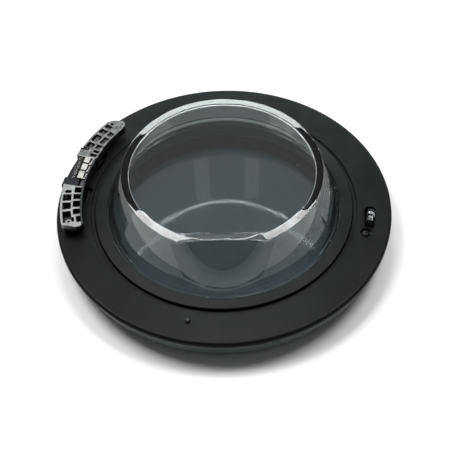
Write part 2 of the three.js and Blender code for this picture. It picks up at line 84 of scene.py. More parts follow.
# ---------------------------------------------------------------- mesh helpers
MERGE = 0.002  # points closer than this become one


def polar(r, degrees):
    a = math.radians(degrees)
    return r * math.cos(a), r * math.sin(a)


def arc_outline(r, a0, a1, steps):
    return [polar(r, a0 + (a1 - a0) * i / steps) for i in range(steps + 1)]


def add_mesh(name, verts, faces):
    """New object from points in millimetres."""
    mesh = bpy.data.meshes.new(name)
    mesh.from_pydata([[c * MM for c in v] for v in verts], [], faces)
    obj = bpy.data.objects.new(name, mesh)
    bpy.context.scene.collection.objects.link(obj)
    tidy(obj)
    return obj


def tidy(obj):
    """Merges doubled points and turns every face outwards."""
    bm = bmesh.new()
    bm.from_mesh(obj.data)
    bmesh.ops.remove_doubles(bm, verts=bm.verts, dist=MERGE * MM)
    bmesh.ops.recalc_face_normals(bm, faces=bm.faces)
    bm.to_mesh(obj.data)
    bm.free()
    obj.data.update()


def smooth(obj, angle=32):
    obj.data.shade_smooth()
    obj.data.set_sharp_from_angle(angle=math.radians(angle))


def apply_modifiers(obj):
    bpy.context.view_layer.update()
    graph = bpy.context.evaluated_depsgraph_get()
    baked = bpy.data.meshes.new_from_object(obj.evaluated_get(graph))
    old = obj.data
    obj.modifiers.clear()
    obj.data = baked
    bpy.data.meshes.remove(old)


def combine(obj, others, operation):
    """Boolean of obj with each of the others, which are used up."""
    for i, other in enumerate(others):
        modifier = obj.modifiers.new(f"bool_{i}", "BOOLEAN")
        modifier.object = other
        modifier.operation = operation
        modifier.solver = "EXACT"
    apply_modifiers(obj)
    for other in others:
        bpy.data.objects.remove(other)
    return obj


def cut(obj, *cutters):
    return combine(obj, cutters, "DIFFERENCE")


def join(obj, *pieces):
    return combine(obj, pieces, "UNION")


def soften(obj, width, segments=2, angle=40):
    """Rounds the edges of obj by width, in mm, and evens its shading."""
    modifier = obj.modifiers.new("edges", "BEVEL")
    modifier.width = width * MM
    modifier.segments = segments
    modifier.limit_method = "ANGLE"
    modifier.angle_limit = math.radians(angle)
    apply_modifiers(obj)
    smooth(obj)
    weights = obj.modifiers.new("normals", "WEIGHTED_NORMAL")
    weights.keep_sharp = True
    apply_modifiers(obj)


def arc_points(corner, before, after, radius, steps):
    """Points of a fillet at a corner, or the corner itself where there is no room for one."""
    c, a, b = Vector(corner), Vector(before), Vector(after)
    u, v = (a - c).normalized(), (b - c).normalized()
    dot = max(-1.0, min(1.0, u.dot(v)))
    half = math.acos(dot) / 2
    if radius <= 0 or half < 0.02 or half > math.pi / 2 - 0.01:
        return [tuple(c)]
    reach = min(radius / math.tan(half), 0.49 * (a - c).length, 0.49 * (b - c).length)
    radius = reach * math.tan(half)
    centre = c + (u + v).normalized() * (radius / math.sin(half))
    start, end = c + u * reach - centre, c + v * reach - centre
    turn = start.angle_signed(end)
    return [tuple(centre + Matrix.Rotation(-turn * i / steps, 2) @ start) for i in range(steps + 1)]


def rounded(corners, steps=5, closed=True, hold=0.5):
    """Outline from (x, y, fillet radius) corners. Long straights get a point at the hold distance
    from each end, which keeps the shading of a flat face flat."""
    count = len(corners)
    arcs = []
    for i, (x, y, r) in enumerate(corners):
        before, after = corners[i - 1], corners[(i + 1) % count]
        if not closed and i in (0, count - 1):
            arcs.append([(x, y)])
        else:
            arcs.append(arc_points((x, y), before[:2], after[:2], r, steps))
    outline = []
    for i, arc in enumerate(arcs):
        outline += arc
        if not closed and i == count - 1:
            break
        start, end = Vector(arc[-1]), Vector(arcs[(i + 1) % count][0])
        length = (end - start).length
        if hold and length > 4 * hold:
            for distance in (hold, length - hold):
                outline.append(tuple(start + (end - start) * distance / length))
    return outline


def lathe(name, outline, segments=192, closed=True):
    """Body of revolution about Z from (r, z) points. An open outline starts and ends on the axis."""
    verts, faces = [], []
    n = len(outline)
    for k in range(segments):
        a = 2 * math.pi * k / segments
        verts += [(r * math.cos(a), r * math.sin(a), z) for r, z in outline]
    for k in range(segments):
        here, there = k * n, ((k + 1) % segments) * n
        for i in range(n if closed else n - 1):
            j = (i + 1) % n
            faces.append((here + i, here + j, there + j, there + i))
    return add_mesh(name, verts, faces)


def prism(name, outline, z0, z1, flare=0.0, flare_depth=0.0, draft=0.0):
    """Upright prism over a plan outline. Its top may flare outwards, to chamfer what it cuts, and
    its foot may be drawn in by a draft."""
    layers = [(z0, -draft), (z1, 0.0)]
    if flare:
        past = z1 + 3
        layers = [(z0, 0.0), (z1 - flare_depth, 0.0), (z1 + flare_depth, 2 * flare), (past, 2 * flare)]
    n = len(outline)
    normals = []
    area = sum(outline[i - 1][0] * outline[i][1] - outline[i][0] * outline[i - 1][1] for i in range(n))
    side = 1 if area > 0 else -1
    for i in range(n):
        a, b, c = Vector(outline[i - 1]), Vector(outline[i]), Vector(outline[(i + 1) % n])
        d = ((b - a).normalized() + (c - b).normalized()).normalized()
        normals.append(Vector((d.y, -d.x)) * side)
    verts, faces = [], []
    for z, grow in layers:
        verts += [(*(Vector(p) + normals[i] * grow), z) for i, p in enumerate(outline)]
    for k in range(len(layers) - 1):
        for i in range(n):
            j = (i + 1) % n
            faces.append((k * n + i, k * n + j, (k + 1) * n + j, (k + 1) * n + i))
    faces.append(tuple(range(n - 1, -1, -1)))
    faces.append(tuple((len(layers) - 1) * n + i for i in range(n)))
    return add_mesh(name, verts, faces)


def side_prism(name, outline, y0, y1):
    """Prism over a side outline of (x, z) points, between two Y positions."""
    n = len(outline)
    verts = [(x, y, z) for y in (y0, y1) for x, z in outline]
    faces = [(i, (i + 1) % n, n + (i + 1) % n, n + i) for i in range(n)]
    faces += [tuple(range(n)), tuple(range(2 * n - 1, n - 1, -1))]
    return add_mesh(name, verts, faces)


def circle(x, y, r, segments):
    angles = [2 * math.pi * i / segments for i in range(segments)]
    return [(x + r * math.cos(a), y + r * math.sin(a)) for a in angles]


def post(name, x, y, r, z0, z1, segments=32, **flare):
    """Upright round bar."""
    return prism(name, circle(x, y, r, segments), z0, z1, **flare)


def rod(name, x, z, r, y0, y1, segments=40):
    """Round bar along Y."""
    return side_prism(name, circle(x, z, r, segments), y0, y1)


def block(name, x0, x1, y0, y1, z0, z1):
    return prism(name, [(x0, y0), (x1, y0), (x1, y1), (x0, y1)], z0, z1)


def sector(r0, r1, a0, a1, steps):
    """Plan outline between two radii and two headings in degrees."""
    return arc_outline(r1, a0, a1, steps) + arc_outline(r0, a1, a0, steps)


def helix(name, x, z, r, wire, y0, y1, turns):
    """Coil of round wire around an axis along Y, with its two ends capped."""
    steps, sides = 28, 10
    verts, faces = [], []
    count = turns * steps
    for i in range(count + 1):
        a = 2 * math.pi * i / steps
        middle = Vector((x, y0 + wire / 2 + (y1 - y0 - wire) * (i / count), z))
        out = Vector((math.cos(a), 0, math.sin(a)))
        for k in range(sides):
            b = 2 * math.pi * k / sides
            rise = Vector((0, wire / 2 * math.sin(b), 0))
            verts.append(tuple(middle + out * (r + wire / 2 * math.cos(b)) + rise))
    for i in range(count):
        for k in range(sides):
            j = (k + 1) % sides
            faces.append((i * sides + k, i * sides + j, (i + 1) * sides + j, (i + 1) * sides + k))
    faces.append(tuple(range(sides - 1, -1, -1)))
    faces.append(tuple(count * sides + k for k in range(sides)))
    return add_mesh(name, verts, faces)


def place(obj, node, material, body="door"):
    """Puts obj on its body in place of a CAD node, with its material."""
    obj.data.materials.clear()
    obj.data.materials.append(material)
    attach(obj, body)
    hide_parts(node)


# ---------------------------------------------------------------- materials
def map_range(tree, value, from_low, from_high, low, high):
    """Node that maps from_low to from_high onto low to high, and stops at both ends."""
    node = tree.nodes.new("ShaderNodeMapRange")
    ends = {"From Min": from_low, "From Max": from_high, "To Min": low, "To Max": high}
    for socket, number in ends.items():
        node.inputs[socket].default_value = number
    tree.links.new(value, node.inputs["Value"])
    return node.outputs["Result"]


class Shader:
    """A material with a Principled shader and short calls for the nodes in front of it."""

    def __init__(self, name, **values):
        self.material = bpy.data.materials.new(name)
        self.material.use_nodes = True
        self.tree = self.material.node_tree
        self.bsdf = self.tree.nodes["Principled BSDF"]
        self.output = self.tree.nodes["Material Output"]
        for socket, value in values.items():
            self.bsdf.inputs[socket.replace("_", " ")].default_value = value
        self.coords = self.node("ShaderNodeTexCoord").outputs["Object"]
        self.height = None

    def node(self, kind, **settings):
        node = self.tree.nodes.new(kind)
        for key, value in settings.items():
            setattr(node, key, value)
        return node

    def link(self, a, b):
        self.tree.links.new(a, b)

    def stretched(self, scale):
        mapping = self.node("ShaderNodeMapping")
        mapping.inputs["Scale"].default_value = scale
        self.link(self.coords, mapping.inputs["Vector"])
        return mapping.outputs["Vector"]

    def noise(self, scale, detail, roughness=0.5, vector=None):
        noise = self.node("ShaderNodeTexNoise")
        noise.inputs["Scale"].default_value = scale
        noise.inputs["Detail"].default_value = detail
        noise.inputs["Roughness"].default_value = roughness
        self.link(vector or self.coords, noise.inputs["Vector"])
        return noise.outputs["Fac"]

    def pits(self, scale):
        pits = self.node("ShaderNodeTexVoronoi")
        pits.inputs["Scale"].default_value = scale
        self.link(self.coords, pits.inputs["Vector"])
        return pits.outputs["Distance"]

    def spread(self, value, low, high, from_low=0.3, from_high=0.7):
        """Spreads a value out over low to high; most noise lies between 0.3 and 0.7."""
        return map_range(self.tree, value, from_low, from_high, low, high)

    def reach(self):
        """Distance from the ring's axis."""
        length = self.node("ShaderNodeVectorMath", operation="LENGTH")
        self.link(self.stretched((1, 1, 0)), length.inputs[0])
        return length.outputs["Value"]

    def tones(self, pattern, base, dark, light):
        """Base colour times dark to light, by the pattern."""
        ends = [tuple(min(1, c * factor) for c in base) for factor in (dark, light)]
        return self.mix(self.spread(pattern, 0, 1), *ends)

    def math(self, operation, a, b):
        node = self.node("ShaderNodeMath", operation=operation)
        for socket, value in zip(node.inputs, (a, b)):
            if isinstance(value, (int, float)):
                socket.default_value = value
            else:
                self.link(value, socket)
        return node.outputs[0]

    def mix(self, fac, a, b):
        mix = self.node("ShaderNodeMix", data_type="RGBA")
        for socket, value in ((mix.inputs[6], a), (mix.inputs[7], b)):
            if isinstance(value, tuple):
                socket.default_value = (*value, 1)
            else:
                self.link(value, socket)
        self.link(fac, mix.inputs[0])
        return mix.outputs[2]

    def colour(self, value):
        self.link(value, self.bsdf.inputs["Base Color"])

    def rough(self, value):
        self.link(value, self.bsdf.inputs["Roughness"])

    def bump(self, value, depth, strength):
        """Adds a bump; depth is in metres from the pattern's 0 to its 1."""
        bump = self.node("ShaderNodeBump")
        bump.inputs["Strength"].default_value = strength
        bump.inputs["Distance"].default_value = depth
        self.link(value, bump.inputs["Height"])
        if self.height is not None:
            self.link(self.height, bump.inputs["Normal"])
        self.height = bump.outputs["Normal"]
        self.link(self.height, self.bsdf.inputs["Normal"])

    def lets_lamps_through(self, tint):
        """Rays on their way to a lamp pass straight through, so that glass doesn't black out
        what is behind it."""
        clear = self.node("ShaderNodeBsdfTransparent")
        if isinstance(tint, tuple):
            clear.inputs["Color"].default_value = (*tint, 1)
        else:
            self.link(tint, clear.inputs["Color"])
        path = self.node("ShaderNodeLightPath")
        mix = self.node("ShaderNodeMixShader")
        self.link(path.outputs["Is Shadow Ray"], mix.inputs[0])
        self.link(self.bsdf.outputs[0], mix.inputs[1])
        self.link(clear.outputs[0], mix.inputs[2])
        self.link(mix.outputs[0], self.output.inputs["Surface"])


def grained_plastic(name, base, roughness):
    """Moulded plastic with an eroded grain, faint flow marks and small changes of gloss."""
    # the grain swallows most of the sheen
    s = Shader(name, Roughness=roughness, IOR=1.5, Specular_IOR_Level=0.065)
    flow = s.noise(9, 4, 0.55)
    s.colour(s.tones(flow, base, 0.86, 1.16))
    smudge = s.noise(30, 5, 0.6)
    s.rough(s.spread(smudge, roughness - 0.05, roughness + 0.06))
    grain = s.noise(1500, 2, 0.6)
    s.bump(grain, 0.00002, 0.5)
    sink = s.noise(22, 2, 0.4)
    s.bump(sink, 0.00012, 0.25)
    return s.material


def gloss_plastic(name, base, roughness):
    """Smooth moulded plastic under a thin gloss, a little wavy."""
    s = Shader(name, Roughness=roughness, IOR=1.5, Coat_Weight=0.3, Coat_Roughness=0.12)
    s.colour(s.tones(s.noise(14, 4), base, 0.9, 1.1))
    s.rough(s.spread(s.noise(60, 4), roughness - 0.04, roughness + 0.05))
    s.bump(s.noise(35, 2), 0.00005, 0.3)
    return s.material


def clear_glass():
    """Faintly green pressed glass."""
    s = Shader("clear_glass", IOR=1.5, Transmission_Weight=1.0, Specular_IOR_Level=0.24)
    s.bsdf.inputs["Base Color"].default_value = (0.955, 0.985, 0.98, 1)
    s.rough(s.spread(s.noise(40, 4), 0.0, 0.008))
    # pressed glass is never quite flat
    s.bump(s.noise(11, 1, 0.3), 0.00025, 0.3)
    s.lets_lamps_through((0.9, 0.93, 0.925))
    return s.material


def tinted_screen():
    """Smoked screen with a black printed border round its clear window."""
    window_edge = (0.1475, 0.149)  # metres from the ring's axis, clear to black
    s = Shader("tinted_screen", IOR=1.49, Transmission_Weight=1.0)
    border = s.spread(s.reach(), 0, 1, *window_edge)
    s.colour(s.mix(border, (0.085, 0.103, 0.113), (0.004, 0.0045, 0.005)))
    s.rough(s.spread(s.noise(50, 3), 0.05, 0.08))
    s.lets_lamps_through(s.mix(border, (0.3, 0.32, 0.34), (0.01, 0.01, 0.01)))
    return s.material


def cast_metal(name, base, roughness, wear_and_shade=False):
    """Die casting with a fine skin and flow streaks."""
    s = Shader(name, Metallic=1.0, Roughness=roughness)
    streaks = s.noise(60, 5, 0.65, s.stretched((1, 0.3, 1)))
    tone = s.tones(streaks, base, 0.8, 1.12)
    # on the leaf this also paints shade into the pockets and along the inner edge, beside the rubbed pads
    s.colour(leaf_wear_and_shade(s, tone, base) if wear_and_shade else tone)
    s.rough(s.spread(s.noise(180, 4), roughness - 0.1, roughness + 0.14))
    s.bump(s.noise(900, 3, 0.6), 0.00006, 0.5)
    s.bump(s.pits(350), 0.00008, 0.35)
    s.bump(s.noise(210, 2, 0.5), 0.0009, 0.5)
    return s.material


def leaf_wear_and_shade(s, tone, base):
    """Painted shade down in the leaf's pockets, darker patches on the lattice at its +Y end, pads
    beside the spring that are rubbed bright, and painted shade along the inner edge. Each span is
    in metres."""
    pocket_shade_z = ((PLATE_Z + 10.5) * MM, (PLATE_Z + 16) * MM)
    lattice_y = (0.03, 0.034)
    pads_from, pads_to, pads_reach = (-0.0105, -0.009), (0.03, 0.0325), (0.2, 0.2012)
    edge_shade_reach, edge_shade_to = (0.1995, 0.2006), (0.03, 0.036)
    pocket_shade, rubbed, painted_shade = (0.016, 0.018, 0.018), (0.24, 0.228, 0.217), (0.02, 0.023, 0.024)
    dark_patch_tone = tuple(c * 0.22 for c in base)
    split = s.node("ShaderNodeSeparateXYZ")
    s.link(s.coords, split.inputs[0])
    along = split.outputs["Y"]
    reach = s.reach()
    # painted shade: the pocket floors darken with depth, standing in for the shadow down in them
    pocket = s.spread(split.outputs["Z"], 1, 0, *pocket_shade_z)
    tone = s.mix(s.math("MULTIPLY", pocket, 0.96), tone, pocket_shade)
    # the lattice at the +Y end is darker in noisy patches
    patches = s.spread(s.noise(170, 3, 0.6), 0.15, 1)
    dark_patches = s.math("MULTIPLY", patches, s.spread(along, 0, 1, *lattice_y))
    tone = s.mix(dark_patches, tone, dark_patch_tone)
    pads = s.math("MULTIPLY", s.spread(along, 0, 1, *pads_from), s.spread(along, 1, 0, *pads_to))
    pads = s.math("MULTIPLY", pads, s.spread(reach, 0, 1, *pads_reach))
    tone = s.mix(s.math("MULTIPLY", pads, s.math("SUBTRACT", 1, pocket)), tone, rubbed)
    # painted shade along the leaf's inner edge and over its inner side wall
    edge = s.math("MULTIPLY", s.spread(reach, 1, 0, *edge_shade_reach), s.spread(along, 1, 0, *edge_shade_to))
    return s.mix(edge, tone, painted_shade)


def plated_steel(name, base, roughness):
    """Plated steel with fine upright scratches."""
    s = Shader(name, Metallic=1.0, Roughness=roughness)
    scratches = s.noise(400, 3, 0.6, s.stretched((1, 1, 0.05)))
    s.colour(s.tones(scratches, base, 0.85, 1.1))
    s.rough(s.spread(s.noise(120, 4), roughness - 0.06, roughness + 0.1))
    s.bump(scratches, 0.00002, 0.4)
    return s.material


def rubber(name, base):
    """Dull rubber with a fine bloom."""
    s = Shader(name, Roughness=0.75, IOR=1.45)
    s.colour(s.tones(s.noise(80, 4), base, 1, 1.9))
    s.rough(s.spread(s.noise(300, 3), 0.62, 0.85))
    s.bump(s.noise(1400, 2), 0.00003, 0.5)
    return s.material


def floor_paint():
    """Plain pale paint."""
    s = Shader("pale_floor", Roughness=0.65, IOR=1.3)
    s.colour(s.mix(s.spread(s.noise(3, 2), 0, 1), (0.9, 0.9, 0.9), (0.925, 0.925, 0.925)))
    s.rough(s.spread(s.noise(6, 3), 0.6, 0.72))
    return s.material


RING_PLASTIC = grained_plastic("ring_plastic", (0.004, 0.0052, 0.006), 0.33)
TRIM_PLASTIC = gloss_plastic("trim_plastic", (0.07, 0.088, 0.092), 0.3)
INNER_PLASTIC = grained_plastic("inner_plastic", (0.014, 0.016, 0.019), 0.5)
GLASS = clear_glass()
SCREEN = tinted_screen()
CASTING = cast_metal("leaf_casting", (0.15, 0.153, 0.15), 0.4, wear_and_shade=True)
BLACK_CASTING = cast_metal("black_casting", (0.009, 0.0098, 0.011), 0.45)
STEEL = plated_steel("plated_steel", (0.42, 0.435, 0.44), 0.2)
DARK_STEEL = plated_steel("dark_steel", (0.055, 0.052, 0.05), 0.35)
SCREW_STEEL = plated_steel("screw_steel", (0.02, 0.021, 0.022), 0.4)
RUBBER = rubber("black_rubber", (0.012, 0.012, 0.013))
NYLON = grained_plastic("nylon", (0.7, 0.68, 0.6), 0.45)


# ---------------------------------------------------------------- rings
def make_back_ring():
    outline = rounded([
        (163, 45.4, 0.5), (163, 47.5, 0.9), (165, 48, 0.8), (180.3, 46.3, 0.9), (181, 44.6, 0.4),
        (181.7, 41.4, 0.5), (186.4, 41.4, 0.5), (187.1, PLATE_Z, 0.6),
        (DOOR_R, PLATE_Z, 5.6), (DOOR_R, 36.2, 3.2), (231.8, 36.2, 0.4), (229.6, PLATE_UNDER, 0.4),
        (222, PLATE_UNDER, 0.4), (222, 24, 0.4), (219.5, 24, 0.4), (219.5, PLATE_UNDER, 0.4),
        (188.5, PLATE_UNDER, 0.4), (188, 38.6, 0.4), (179.3, 38.6, 0.4), (179.3, 44.3, 0.4),
        (166.5, 44.4, 0.6),
    ])
    ring = lathe("back_ring_fine", outline, 256)
    low_z = 36
    chamfer = {"flare": 0.5, "flare_depth": 0.5}
    cutters = []
    for y0, y1 in ((-36, -8.5), (26, 61)):
        shape = rounded([(-213, y0, 2), (-190, y0, 2), (-190, y1, 2), (-213, y1, 2)], 4)
        cutters.append(prism("notch", shape, low_z, PLATE_Z, **chamfer))
    for i in range(4):
        x, y = centre_mm(f"bracket_screw_{i + 1}")
        cutters.append(post("screw_hole", x, y, 2.4, low_z, PLATE_Z, **chamfer))
    slot_x, slot_half, slot_y0, slot_y1 = 203, 8.4, 1.5, 30
    slot = [(slot_x - slot_half, slot_y0), (slot_x + slot_half, slot_y0)]
    for i in range(21):
        a = math.pi * i / 20
        slot.append((slot_x + slot_half * math.cos(a), slot_y1 + slot_half * math.sin(a)))
    cutters.append(prism("hook_slot", slot, low_z, PLATE_Z, **chamfer))
    screw = centre_mm("latch_screw")
    ring = join(ring, post("screw_boss", *screw, 9.6, 38.6, PLATE_UNDER + 0.6))
    cutters.append(post("counterbore", *screw, 7.6, 40.6, PLATE_Z, 48, **chamfer))
    cutters.append(post("latch_screw_hole", *screw, 2.6, low_z, 41))
    _, buffer_y = centre_mm("door_buffer")
    cutters.append(post("buffer_hole", 0, buffer_y, 3.6, low_z, PLATE_Z, **chamfer))
    grip = sector(214, 229, -15.2, 15.2, 16)
    cutters.append(prism("grip_gap", grip, 20, PLATE_UNDER))
    ring = cut(ring, *cutters)
    tidy(ring)
    smooth(ring)
    place(ring, "back_ring", RING_PLASTIC)


def make_front_ring():
    outline = rounded([
        (228.5, 35.4, 0.6), (227.5, 22, 20), (225.6, 9, 9), (221, 1.6, 7), (210, 0, 14), (184, 0, 6),
        (166, 2.6, 0.5), (166, 4.1, 0.4), (175, 4.1, 0.3), (175, 9.5, 0.4), (177.5, 9.5, 0.4),
        (177.5, 2.8, 0.4), (212, 2.8, 4), (220.2, 7, 5), (224.9, 22.3, 8), (225.9, 35.4, 0.6),
    ])
    ring = lathe("front_ring_fine", outline, 256)
    shell = sector(215, 225.4, -14.6, 14.6, 20)
    ring = join(ring, prism("recess_shell", shell, 7, 33))
    recess = sector(217, 240, -14, 14, 20)
    ring = cut(ring, prism("recess", recess, 9, 44))
    tidy(ring)
    smooth(ring)
    place(ring, "front_ring", TRIM_PLASTIC)


def make_glass_retainer():
    outline = rounded([
        (164.2, 10.9, 0.4), (173, 10.9, 0.4), (173, 13.1, 0.4), (166.6, 13.1, 0.6), (166.6, 33.9, 0.8),
        (198, 33.9, 0.5), (198, 37.3, 0.5), (164.2, 37.3, 0.5),
    ], 4)
    ring = lathe("glass_retainer_fine", outline)
    screw_reach = 192.5
    holes = [post("hole", *polar(screw_reach, 22.5 + 45 * i), 2.1, 30, 40, 16) for i in range(8)]
    ring = cut(ring, *holes)
    tidy(ring)
    smooth(ring)
    place(ring, "glass_retainer", INNER_PLASTIC)


def make_gaskets():
    profiles = {
        "bowl_gasket": [
            (170.5, 42.9, 0.3), (176.4, 42.9, 0.2), (176.4, 37.9, 0.3), (178.8, 37.9, 0.4),
            (178.8, 44, 0.5), (170.5, 44, 0.4),
        ],
        "screen_gasket": [(167, 7.9, 0.6), (173, 7.9, 0.6), (173, 10.6, 0.6), (167, 10.6, 0.6)],
    }
    for node, corners in profiles.items():
        seal = lathe(f"{node}_fine", rounded(corners, 3))
        smooth(seal)
        place(seal, node, RUBBER)


def make_screen():
    outline = rounded([
        (0, 0.95, 0), (80, 1.7, 60), (130, 3, 50), (164, 4.4, 10), (173.5, 4.4, 0.4),
        (173.5, 7.6, 0.4), (164, 7.6, 10), (130, 6.2, 50), (80, 4.9, 60), (0, 4.1, 0),
    ], closed=False)
    screen = lathe("front_screen_fine", outline, closed=False)
    smooth(screen)
    place(screen, "front_screen", SCREEN)


# ---------------------------------------------------------------- glass bowl
WALL = 5.2
CONE_FOOT = (157, PLATE_Z + 8)
CORNER_R = 136.5  # where the cone would meet the height of the flat face
CONE_LEAN = math.atan((CONE_FOOT[0] - CORNER_R) / (GLASS_TOP - CONE_FOOT[1]))
FACE_R = 125.6  # the raised flat face; the band round it falls away by BAND_TILT
BAND_TILT = math.radians(11)
CAVITY_R = 127  # the wall is thicker towards the flat face
SPLIT_Z = (60, 100)  # heights on the cone where one stretch of a profile hands over to the next
FACET_HEADING = 283
# planes that cut the bowl's near side: reach from the axis at a height, lean from upright, and
# roundness of the edge on the cone and on the flat face
FACETS = {
    "outside": (124.2, GLASS_TOP, 26.6, 5.0, 0.2),
    "cavity": (112.5, GLASS_TOP - WALL, 31.8, 5.0, 0.2),
}
FACE_DEPTH = 4  # points at most this far below a flat face have its roundness


def cone_r(z, inset=0.0):
    """Radius of the bowl's cone at a height, inset by a wall thickness."""
    return CONE_FOOT[0] - (z - CONE_FOOT[1]) * math.tan(CONE_LEAN) - inset / math.cos(CONE_LEAN)


def cavity_crown(top):
    """Arc that turns the cavity's ceiling, at height top, into its wall, from the middle out."""
    radius, steps = 2.2, 7
    turn = math.pi / 2 - CONE_LEAN
    centre = CAVITY_R - radius * math.tan(turn / 2)
    angles = [CONE_LEAN + turn * i / steps for i in range(steps, -1, -1)]
    return [(centre + radius * math.cos(a), top - radius + radius * math.sin(a)) for a in angles]


def flattened(points, reach, top, lean, round_below, round_above):
    """Pulls a profile's points back behind a facet's plane; one point lands on each edge."""
    tilt, heading = math.radians(lean), math.radians(FACET_HEADING)
    level = math.cos(tilt)
    normal = Vector((math.cos(heading) * level, math.sin(heading) * level, math.sin(tilt)))

    def beyond(p):
        return p.dot(normal) - reach * level - top * math.sin(tilt)

    overs = [beyond(p) for p in points]
    moved = list(points)
    for i in range(len(points) - 1):
        a, b = overs[i], overs[i + 1]
        if a * b < 0:
            nearest = i if abs(a) < abs(b) else i + 1
            moved[nearest] = points[i].lerp(points[i + 1], a / (a - b))
    flat = []
    for p in moved:
        over = beyond(p)
        roundness = round_above if p.z > top - FACE_DEPTH else round_below
        if over >= roundness:
            p = p - normal * over
        elif over > -roundness:
            p = p - normal * (over + roundness) ** 2 / (4 * roundness)
        flat.append(p)
    return flat


def subdivided(points, step):
    fine = [points[0]]
    for p in points[1:]:
        a, b = Vector(fine[-1]), Vector(p)
        pieces = max(1, round((b - a).length / step))
        fine += [tuple(a.lerp(b, k / pieces)) for k in range(1, pieces + 1)]
    return fine


def band_corner():
    """Where the cone meets the band round the flat face, with the radius of that edge."""
    z = GLASS_TOP - (CORNER_R - FACE_R) * math.tan(BAND_TILT)
    return cone_r(z), z, 0.9


def bowl_profile():
    """The bowl's three stretches of (r, z) points: outside from the foot up to the axis, cavity
    from the axis down to the foot, and flange back out."""
    top, under = GLASS_TOP, GLASS_TOP - WALL
    low, high = SPLIT_Z
    foot_z = CONE_FOOT[1] - WALL / 2
    middle_r, flat_r = 40, 90
    outer_foot = rounded([
        (170.5, 42.6, 0), (164, 43.2, 8), (159.8, 45.2, 5), (*CONE_FOOT, 8), (cone_r(low), low, 0),
    ], 7, closed=False, hold=9)
    band = rounded([
        (cone_r(high), high, 0), band_corner(), (FACE_R, top, 12), (flat_r, top, 0),
    ], 9, closed=False, hold=9)
    inner_foot = rounded([
        (cone_r(low, WALL), low, 0), (cone_r(foot_z, WALL), foot_z, 12), (155, 41.6, 5), (160, 38.2, 3),
        (166, 37.6, 0),
    ], 7, closed=False, hold=9)
    flange = rounded([(170, 37.6, 0), (176, 37.6, 0.8), (176, 42.6, 0.8), (171, 42.6, 0)], 4, closed=False)
    outside = subdivided(outer_foot + band, 2.4)
    cavity = subdivided([(flat_r, under)] + cavity_crown(under) + inner_foot, 2.6)
    return {
        "outside": outside + [(middle_r, top), (0, top)],
        "cavity": [(0, under), (middle_r, under)] + cavity,
        "flange": flange,
    }


def make_bowl():
    profile = bowl_profile()
    # meridians lie closer together across the facet
    angles = [FACET_HEADING - 45 + i for i in range(90)] + [FACET_HEADING + 45 + 2 * i for i in range(135)]
    verts, faces = [], []
    for a in (math.radians(angle) for angle in angles):
        for name, points in profile.items():
            line = [Vector((r * math.cos(a), r * math.sin(a), z)) for r, z in points]
            if name in FACETS:
                line = flattened(line, *FACETS[name])
            verts += [tuple(p) for p in line]
    n = sum(len(points) for points in profile.values())
    on_axis = len(profile["outside"]) - 1  # the next point lies on the axis too
    for k in range(len(angles)):
        here, there = k * n, ((k + 1) % len(angles)) * n
        for i in range(n):
            if i != on_axis:
                j = (i + 1) % n
                faces.append((here + i, here + j, there + j, there + i))
    bowl = add_mesh("glass_bowl_fine", verts, faces)
    smooth(bowl, 50)
    place(bowl, "glass_bowl", GLASS)


# ---------------------------------------------------------------- hinge
LEAF_OUTER, LEAF_INNER = 227, 197.2
LEAF_FOOT, LEAF_TOP = PLATE_Z + 8, PLATE_Z + 20
DEEP, SHALLOW = LEAF_FOOT + 2.6, LEAF_TOP - 4  # floors of the pockets
OUTER_COLUMN = (211.9, 224.6)
INNER_COLUMN = (199.3, 209.8)
ARMS = [(-24.5, -10.5, 12.5), (45, 49.5, 8.5)]  # Y span and radius of the head round the pin
ARM_GAP = 0.6
ARM_TOP = PIN_Z + 5.5
BAY = (-10.5, 31.2)
BAY_X = -211.2
BELOW, ABOVE, OUTSIDE = 40, 90, -240  # heights and an X that are clear of the leaf


def bend(start, control, end):
    """Points of a curve that leaves start towards control and reaches end from it."""
    steps = 8
    a, b, c = Vector(start), Vector(control), Vector(end)
    ways = [i / steps for i in range(1, steps + 1)]
    return [tuple(a.lerp(b, t).lerp(b.lerp(c, t), t)) for t in ways]


def leaf_outline():
    outer = arc_outline(LEAF_OUTER, 152.2, 204.4, 40)
    inner = arc_outline(LEAF_INNER, 206.6, 170.5, 30)
    outline = outer + bend(outer[-1], (-205.4, -97.2), (-202, -97.2))
    outline += bend((-188.5, -97.2), (-179.4, -97.2), inner[0]) + inner[1:]
    outline += bend(inner[-1], (-191.9, 55.9), (-186.4, 71))
    outline += bend((-176.4, 94.6), (-170.5, 109.2), (-179, 111.6))
    return outline + bend((-179, 111.6), (-190, 114), outer[0])[:-1]


def cells(radii, *spans):
    """Four-cornered cells between two radii, one for each span of headings."""
    r0, r1 = radii
    return [[polar(r1, a0), polar(r1, a1), polar(r0, a1), polar(r0, a0)] for a0, a1 in spans]


